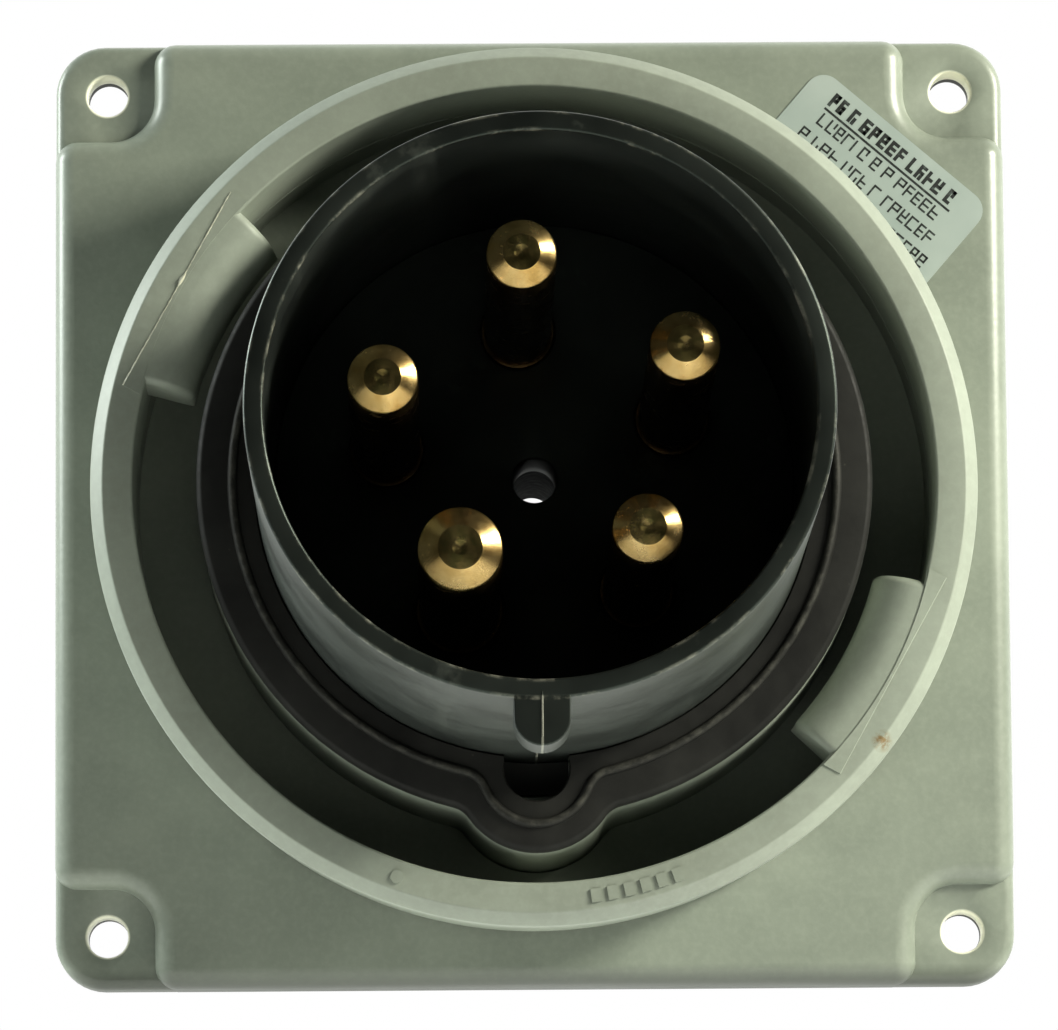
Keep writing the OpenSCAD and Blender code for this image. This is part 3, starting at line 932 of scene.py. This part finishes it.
def lug(bm, middle):
    """A locking lug: flat next to the ring, falling in a quarter round to its inner edge."""
    half = LUG_ANGLE / 2
    flat_r = LUG_R + LUG_FALL
    root = RING_BORE_R + 0.45
    end_round = 1.3
    steps = [-half]
    for i in range(1, 7):
        steps.append(-half + math.degrees(end_round * (1 - math.cos(math.pi / 2 * i / 6)) / flat_r))
    steps += [steps[-1] - 2 * steps[-1] * i / 16 for i in range(1, 17)]
    steps += [-a for a in steps[:6][::-1]]
    loops = []
    for phi in steps:
        edge = (half - abs(phi)) * math.radians(1) * flat_r
        lack = max(0.0, end_round - edge)
        drop = end_round - math.sqrt(max(0.0, end_round ** 2 - lack ** 2))
        section = []
        for r in (root, LUG_R + 0.5, LUG_R):
            along = r * math.sin(math.radians(phi))
            lift = 0.5 if r == LUG_R else 0.0
            section.append((r, LUG_BACK_Z + along * math.tan(math.radians(LUG_SLOPE)) + lift))
        for i in range(13):
            a = math.pi / 2 * i / 12
            r = flat_r - LUG_FALL * math.cos(a)
            section.append((r + drop * math.cos(a), RING_Z - LUG_FALL * (1 - math.sin(a)) - drop))
        section.append((root - 0.6, RING_Z + 0.02 - drop))
        section.append((root, RING_Z + 0.02 - drop * 0.3))
        points = [polar(r, middle + phi) for r, _ in section]
        loops.append(add_loop(bm, points, [z for _, z in section]))
    closed_loft(bm, loops)


def along_chord(bm, middle, count, section_at):
    """Thin solid on the chord beside a lug; section_at gives its (x, z) points at each step."""
    loops = []
    for i in range(count + 1):
        along = CHORD_HALF * (2 * i / count - 1)
        section = section_at(along)
        points = [turned_point(x, along, middle) for x, _ in section]
        loops.append(add_loop(bm, points, [z for _, z in section]))
    closed_loft(bm, loops)


def plateau_section(along):
    """Thin step between the ring's bore and the chord, where the mould insert met the ring."""
    inner_x = math.sqrt((RING_BORE_R + 0.35) ** 2 - along ** 2)
    top = RING_Z + PLATEAU_RISE
    return [
        (inner_x, RING_Z - 0.1), (inner_x, top), (CHORD_X - 0.08, top),
        (CHORD_X + 0.02, RING_Z + 0.01), (CHORD_X + 0.02, RING_Z - 0.1),
    ]


def mould_flash(bm, middle, chance):
    """Ragged thread of flash along the mould line, with one burr near its middle."""
    def section(along):
        burr = math.exp(-((along + 1.5) / 0.7) ** 2)
        high = 0.16 + 0.14 * chance.random() + 0.4 * burr
        wide = 0.17 + 0.08 * chance.random() + 0.22 * burr
        x = CHORD_X + 0.04 * (chance.random() - 0.5)
        return [(x - wide, RING_Z - SINK), (x, RING_Z + high), (x + wide, RING_Z - SINK)]

    along_chord(bm, middle, 60, section)


def raised_marks(bm):
    """A round dot and a row of plain raised bars on the ring's face, near the bottom."""
    middle_r = (RING_BORE_R + RING_R) / 2 - 0.6
    spot = [polar(middle_r, MARK_DOT_ANGLE) + polar(MARK_TALL / 2, 15 * k) for k in range(24)]
    outlines = [spot]
    for k in range(MARK_COUNT):
        a = MARK_FIRST_ANGLE + k * MARK_STEP
        across = MARK_STEP * 0.3
        ends = [polar(middle_r + MARK_TALL / 2, a + t) for t in (-across, across)]
        ends += [polar(middle_r - MARK_TALL / 2, a + t) for t in (across, -across)]
        outlines.append(ends)
    for outline in outlines:
        prism(bm, outline, RING_Z - SINK, RING_Z + MARK_RISE)


def locking_ring():
    """The lock ring in one piece with its two lugs and the marks its mould leaves."""
    bm = bmesh.new()
    ring_body(bm)
    for middle in LUG_MIDDLES:
        lug(bm, middle)
        along_chord(bm, middle, 40, plateau_section)
    raised_marks(bm)
    finish_piece(bm, "ring_shell", ring_plastic, LOCK_RING, ["locking_ring"], sharp=30)
    thread = bmesh.new()
    mould_flash(thread, LUG_MIDDLES[0], random.Random(4))
    finish_piece(thread, "ring_flash", flash_plastic, LOCK_RING, ["locking_ring"], sharp=30)


# -------- sleeve, insert and gasket


def key_outline():
    """Outline of the guide key, from inside the sleeve wall round its tip."""
    half = KEY_W / 2
    tip_y = -(KEY_TIP - KEY_W / 2)
    root_y = -(SLEEVE_R - SLEEVE_WALL / 2)
    pairs = [(Vector((-half, root_y)), Vector((-1, 0)))]
    pairs += arc((0, tip_y), half, 180, 360, 18)
    pairs += [(Vector((half, root_y)), Vector((1, 0)))]
    return pairs


def parting_ridge(bm, points, width, rise):
    """Fine three-sided ridge along a path of (flat point, z, outward direction) steps."""
    loops = []
    for point, z, along, outward in points:
        side = along.cross(outward)
        base = Vector((point.x, point.y, z))
        corners = (base - side * width, base + outward * rise, base + side * width)
        loops.append([bm.verts.new(stand(c.x, c.y, c.z)) for c in corners])
    closed_loft(bm, loops)


def sleeve():
    """Black sleeve with softened rim, guide key, mounting lip and mould parting lines."""
    bm = bmesh.new()
    inner_r = SLEEVE_R - SLEEVE_WALL
    profile = rounded_corners(
        [
            (SLEEVE_R, LIP_TOP_Z), (SLEEVE_R, RIM_Z), (inner_r, RIM_Z), (inner_r, INSERT_BACK_Z),
        ],
        (0, 0.5, 0.45, 0),
    )
    profile += [(LIP_R, INSERT_BACK_Z), (LIP_R, LIP_TOP_Z - CHAMFER), (LIP_R - CHAMFER, LIP_TOP_Z)]
    lathe(bm, profile, steps=ROUND_STEPS, back_to_start=True)
    outline = key_outline()
    loops = [add_loop(bm, inset(outline, d), RIM_Z - 0.02 - h) for d, h in rounded_edge(CHAMFER, 4)]
    loops.append(add_loop(bm, inset(outline, 0), RIM_Z - KEY_LEN))
    closed_loft(bm, loops)
    down = Vector((0, -1, 0))
    front = Vector((0, 0, 1))
    key_front = [(Vector((0, -(SLEEVE_R - 1 + 0.3 * i))), RIM_Z - 0.04, down, front) for i in range(22)]
    parting_ridge(bm, key_front, 0.13, 0.16)
    for side in (-1, 1):
        outward = Vector((0, side, 0))
        wall = [(Vector((0, side * SLEEVE_R)), z, front, outward) for z in (44, 60, 80, 104, RIM_Z - 1)]
        parting_ridge(bm, wall, 0.09, 0.08)
    finish_piece(bm, "sleeve_shell", sleeve_plastic, INLET, ["sleeve"])


def insert_face():
    """Floor of the sleeve, with holes for the pins and the pilot hole."""
    bm = bmesh.new()
    outline = circle_outline(FACE_HIGH.x, 192)
    holes = []
    for name in PIN_NAMES:
        x, y, r = pin_place(name)
        holes.append(((x, y), r + PIN_CLEARANCE))
    holes.append(((0, 0), PILOT_R))
    slab_with_holes(bm, outline, INSERT_BACK_Z, FLOOR_Z, holes, edge_r=0.2, hole_edge=0.6)
    finish_piece(bm, "insert_floor", sleeve_plastic, INLET, ["insert_face"])


def face_gasket():
    """Rubber gasket round the sleeve: bevelled edge, raised bead and a notch for the key."""
    bm = bmesh.new()
    outer = lobed_outline(GASKET_R, GASKET_LOBE_R)
    edge = ((0.9, 0.0), (0.55, 0.12), (0.1, 0.75), (0.0, 1.0), (0.0, GASKET_FACE_Z - NECK_Z))
    loops = [add_loop(bm, inset(outer, d), GASKET_FACE_Z - h) for d, h in edge]
    inner_outline = notched_outline(SLEEVE_R + 0.05)
    loft(bm, loops)
    inner = [add_loop(bm, inset(inner_outline, -0.25), GASKET_FACE_Z)]
    inner.append(add_loop(bm, inset(inner_outline, 0), GASKET_FACE_Z - 0.3))
    inner.append(add_loop(bm, inset(inner_outline, 0), NECK_Z))
    loft(bm, inner)
    fill_between(bm, loops[0], inner[0])
    fill_between(bm, loops[-1], inner[-1])
    bead = lobed_outline(BEAD_R, BEAD_LOBE_R)
    top = GASKET_HIGH.z - GASKET_FACE_Z
    section = ((-0.5, -0.05), (-0.42, 0.45), (-0.22, 0.86), (0, 1), (0.22, 0.86), (0.42, 0.45), (0.5, -0.05))
    rings = [add_loop(bm, inset(bead, -BEAD_W * w), GASKET_FACE_Z + top * h) for w, h in section]
    loft(bm, rings, back_to_start=True)
    finish_piece(bm, "gasket_body", gasket_rubber, INLET, ["face_gasket"], sharp=40)


# -------- label


def label_point(along, across):
    """Flat point on the label: along its lines of print and across them."""
    middle = polar(LABEL_EDGE_R, LABEL_EDGE_ANGLE)
    out = polar(1, LABEL_TILT)
    side = Vector((out.y, -out.x))
    return middle + out * (across - LABEL_H / 2) + side * along


def label_plate():
    """The printed film, stuck to the flange and partly under the ring."""
    bm = bmesh.new()
    pairs = rounded_box_outline(LABEL_W / 2, LABEL_H / 2, LABEL_R, 8)
    prism(bm, [label_point(p.x, p.y) for p, _ in pairs], FACE_Z, FACE_Z + LABEL_T)
    finish_piece(bm, "label_film_sheet", film, INLET, ["rating_label"])


def label_print(chance):
    """Generic blocks in place of the words, the first line underlined."""
    bm = bmesh.new()
    low = FACE_Z + LABEL_T - 0.01
    high = FACE_Z + LABEL_T + 0.02
    for row, (length, tall) in enumerate(LABEL_LINES):
        across = LABEL_H / 2 - LABEL_FIRST - row * LABEL_PITCH
        along = -length / 2 + (chance.random() - 0.5) * 0.4
        end = along + length
        while along < end - 0.6:
            width = min(1.15 + 0.35 * chance.random(), end - along)
            thick = tall * (0.23 if row == 0 else 0.15)
            stroke_block(bm, along, along + width, across, tall, thick, low, high, chance)
            along += width + (1.1 if chance.random() < 0.17 else 0.36)
        if row == 0:
            bar(bm, -length / 2, length / 2, across - tall / 2 - 0.62, 0.36, low, high)
    finish_piece(bm, "label_marks", ink, INLET, ["rating_label"])


def bar(bm, start, end, across, tall, low, high):
    """A flat printed bar."""
    corners = ((start, -1), (end, -1), (end, 1), (start, 1))
    prism(bm, [label_point(a, across + side * tall / 2) for a, side in corners], low, high)


def stroke_block(bm, start, end, across, tall, thick, low, high, chance):
    """A block shaped like print seen from afar: an upright with one or two level strokes."""
    bar(bm, start, start + thick, across, tall, low, high)
    for level in (-1, 0, 1):
        if chance.random() < 0.6:
            middle = across + level * (tall - thick) / 2
            bar(bm, start + thick, end, middle, thick, low, high)
    if chance.random() < 0.5:
        side = 1 if chance.random() < 0.5 else -1
        bar(bm, end - thick, end, across + side * tall / 4, tall / 2, low, high)


# -------- remaining CAD nodes


def dress(node, material, bevel=0.0002):
    """Gives a carried-over CAD node its material and a small bevel."""
    obj = frame["nodes"][node]
    obj.data.materials.clear()
    obj.data.materials.append(material)
    obj.data.shade_smooth()
    obj.data.set_sharp_from_angle(angle=math.radians(32))
    modifier = obj.modifiers.new("edge", "BEVEL")
    modifier.width = bevel
    modifier.segments = 2
    modifier.limit_method = "ANGLE"
    modifier.angle_limit = math.radians(40)
    modifier.harden_normals = True


def dress_nodes():
    """Materials for everything that keeps its CAD shape."""
    dress("flange_gasket", seal_rubber)
    dress("ring_retainer", steel, 0.00002)
    dress("insert_seal", seal_rubber, 0.00008)
    dress("pin_seals", seal_rubber, 0.00005)
    for node in ("pin_carrier", "terminal_block", "phase_barriers"):
        dress(node, insulator_plastic)
    for name in PIN_NAMES:
        dress("clamp_screw_" + name, steel, 0.00015)
    for node in ("insert_screws", "block_screws"):
        dress(node, steel, 0.00012)


def pins():
    """Turned brass pins: softened tip, contact part, collar and a bored wire barrel."""
    for name in PIN_NAMES:
        x, y, r = pin_place(name)
        low, _ = flat_box("pin_" + name)
        bm = bmesh.new()
        profile = rounded_corners(
            [
                (DIMPLE_R * 0.25, TIP_Z - DIMPLE_DEPTH), (DIMPLE_R, TIP_Z), (r * TIP_FLAT, TIP_Z),
                (r, TIP_Z - TIP_CONE_H), (r, FLOOR_Z), (r + ROOT_STEP, FLOOR_Z),
                (r + ROOT_STEP, PIN_COLLAR_TOP), (PIN_COLLAR_R, PIN_COLLAR_TOP),
                (PIN_COLLAR_R, PIN_COLLAR_LOW), (BARREL_R, PIN_COLLAR_LOW), (BARREL_R, low.z),
                (WIRE_BORE_R, low.z), (WIRE_BORE_R, WIRE_BORE_TOP), (0.05, WIRE_BORE_TOP),
            ],
            (0, 0.15, 0.2, 0.9, 0, 0.1, 0, 0, 0, 0, 0.6, 0.5, 0.3, 0),
        )
        rings = lathe(bm, profile, (x, y), steps=96)
        cap(bm, rings[0])
        cap(bm, rings[-1])
        brass = turned_brass("brass_" + name, x, y, r)
        piece = finish_piece(bm, "contact_" + name, brass, INLET, ["pin_" + name], sharp=25)
        cut_clamp_hole(piece, x, y)


def cut_clamp_hole(piece, x, y):
    """Cross hole for the clamp screw, cut through the outer wall of the barrel."""
    outward = Vector((x, y)).normalized()
    bm = bmesh.new()
    loops = []
    for reach in (WIRE_BORE_R * 0.6, BARREL_R + 1):
        points = []
        for i in range(40):
            d = polar(CLAMP_R, 9 * i)
            side = Vector((-outward.y, outward.x)) * d.x
            place = Vector((x, y)) + outward * reach + side
            points.append(bm.verts.new(stand(place.x, place.y, CLAMP_Z + d.y)))
        loops.append(points)
    closed_loft(bm, loops)
    bmesh.ops.recalc_face_normals(bm, faces=bm.faces)
    mesh = bpy.data.meshes.new("clamp_cutter")
    bm.to_mesh(mesh)
    bm.free()
    cutter = bpy.data.objects.new("clamp_cutter", mesh)
    bpy.context.scene.collection.objects.link(cutter)
    modifier = piece.modifiers.new("clamp_hole", "BOOLEAN")
    modifier.operation = "DIFFERENCE"
    modifier.solver = "EXACT"
    modifier.object = cutter
    bpy.context.view_layer.update()
    evaluated = piece.evaluated_get(bpy.context.evaluated_depsgraph_get())
    result = bpy.data.meshes.new_from_object(evaluated)
    piece.modifiers.clear()
    piece.data = result
    bpy.data.objects.remove(cutter)


# -------- build


flange_plate()
flange_pads()
neck()
ring_collar()
locking_ring()
sleeve()
insert_face()
face_gasket()
label_plate()
label_print(random.Random(7))
pins()
dress_nodes()


# -------- floor, light and camera


def floor():
    """Wide pale floor below the object."""
    bm = bmesh.new()
    near, side, far = -0.8, 0.8, 2.0
    corners = [(-side, near), (side, near), (side, far), (-side, far)]
    bm.faces.new([bm.verts.new((x, y, FLOOR_HEIGHT)) for x, y in corners])
    mesh = bpy.data.meshes.new("floor")
    bm.to_mesh(mesh)
    bm.free()
    mesh.materials.append(floor_paint())
    obj = bpy.data.objects.new("floor", mesh)
    bpy.context.scene.collection.objects.link(obj)


def light_place(from_axis, turn):
    """Where a light stands: degrees away from the pin axis, and degrees round it from +X."""
    side = LIGHT_DISTANCE * math.sin(math.radians(from_axis))
    turn = math.radians(turn)
    out = LIGHT_DISTANCE * math.cos(math.radians(from_axis))
    return Vector((side * math.cos(turn), -out, side * math.sin(turn)))


def soft_light(name, place, size, power, colour):
    """A rectangular soft light, aimed at the lock ring, that the camera doesn't see."""
    target = Vector((0, -RING_Z, 0)) * MM
    data = bpy.data.lights.new(name, "AREA")
    data.shape = "RECTANGLE"
    data.size, data.size_y = size
    data.energy = power
    data.color = colour
    obj = bpy.data.objects.new(name, data)
    obj.location = place
    obj.rotation_mode = "QUATERNION"
    obj.rotation_quaternion = (target - place).to_track_quat("-Z", "Y")
    obj.visible_camera = False
    bpy.context.scene.collection.objects.link(obj)


def white_world():
    """A white backdrop behind the object and a dim room in front of it."""
    world = bpy.data.worlds.new("studio")
    world.use_nodes = True
    tree = world.node_tree
    backdrop = tree.nodes["Background"]
    backdrop.inputs["Color"].default_value = (1.0, 1.0, 1.0, 1.0)
    coordinates = tree.nodes.new("ShaderNodeTexCoord")
    split = tree.nodes.new("ShaderNodeSeparateXYZ")
    tree.links.new(coordinates.outputs["Generated"], split.inputs["Vector"])
    behind = ramp(tree, split.outputs["Y"], -0.05, 0.45, WORLD_LIGHT, BACKDROP_LIGHT)
    behind.interpolation_type = "SMOOTHSTEP"
    upward = ramp(tree, split.outputs["Z"], -0.35, 0.05, 0.1, 1.0)
    strength = tree.nodes.new("ShaderNodeMath")
    strength.operation = "MULTIPLY"
    tree.links.new(behind.outputs["Result"], strength.inputs[0])
    tree.links.new(upward.outputs["Result"], strength.inputs[1])
    around = tree.nodes.new("ShaderNodeBackground")
    around.inputs["Color"].default_value = (0.97, 1.0, 0.96, 1.0)
    tree.links.new(strength.outputs[0], around.inputs["Strength"])
    path = tree.nodes.new("ShaderNodeLightPath")
    mix = tree.nodes.new("ShaderNodeMixShader")
    tree.links.new(path.outputs["Is Camera Ray"], mix.inputs[0])
    tree.links.new(around.outputs[0], mix.inputs[1])
    tree.links.new(backdrop.outputs[0], mix.inputs[2])
    tree.links.new(mix.outputs[0], tree.nodes["World Output"].inputs["Surface"])
    bpy.context.scene.world = world


def place_camera():
    """Long lens from slightly below and left of the middle, as the object was seen."""
    azimuth = math.radians(CAMERA_AZIMUTH)
    elevation = math.radians(CAMERA_ELEVATION)
    back = Vector((
        math.sin(azimuth) * math.cos(elevation),
        -math.cos(azimuth) * math.cos(elevation),
        math.sin(elevation),
    ))
    data = bpy.data.cameras.new("camera")
    data.sensor_width = 36.0
    data.lens = CAMERA_LENS
    camera = bpy.data.objects.new("camera", data)
    camera.location = Vector(CAMERA_AIM) * MM + back * CAMERA_DISTANCE * MM
    camera.rotation_mode = "QUATERNION"
    level = (-back).to_track_quat("-Z", "Y")
    camera.rotation_quaternion = level @ Quaternion((0, 0, 1), -math.radians(CAMERA_ROLL))
    bpy.context.scene.collection.objects.link(camera)
    bpy.context.scene.camera = camera


floor()
white_world()
soft_light("right_box", light_place(65, 24), (0.3, 0.15), 12.8, (1.0, 0.99, 0.84))
soft_light("left_box", light_place(92, 158), (0.24, 0.36), 8.8, (0.93, 1.0, 0.95))
soft_light("table_bounce", Vector((0.05, -0.035, -0.285)), (0.7, 0.09), 0.09, (0.97, 1.0, 0.92))
place_camera()

scene = bpy.context.scene
scene.view_settings.view_transform = "Standard"
scene.view_settings.look = "None"
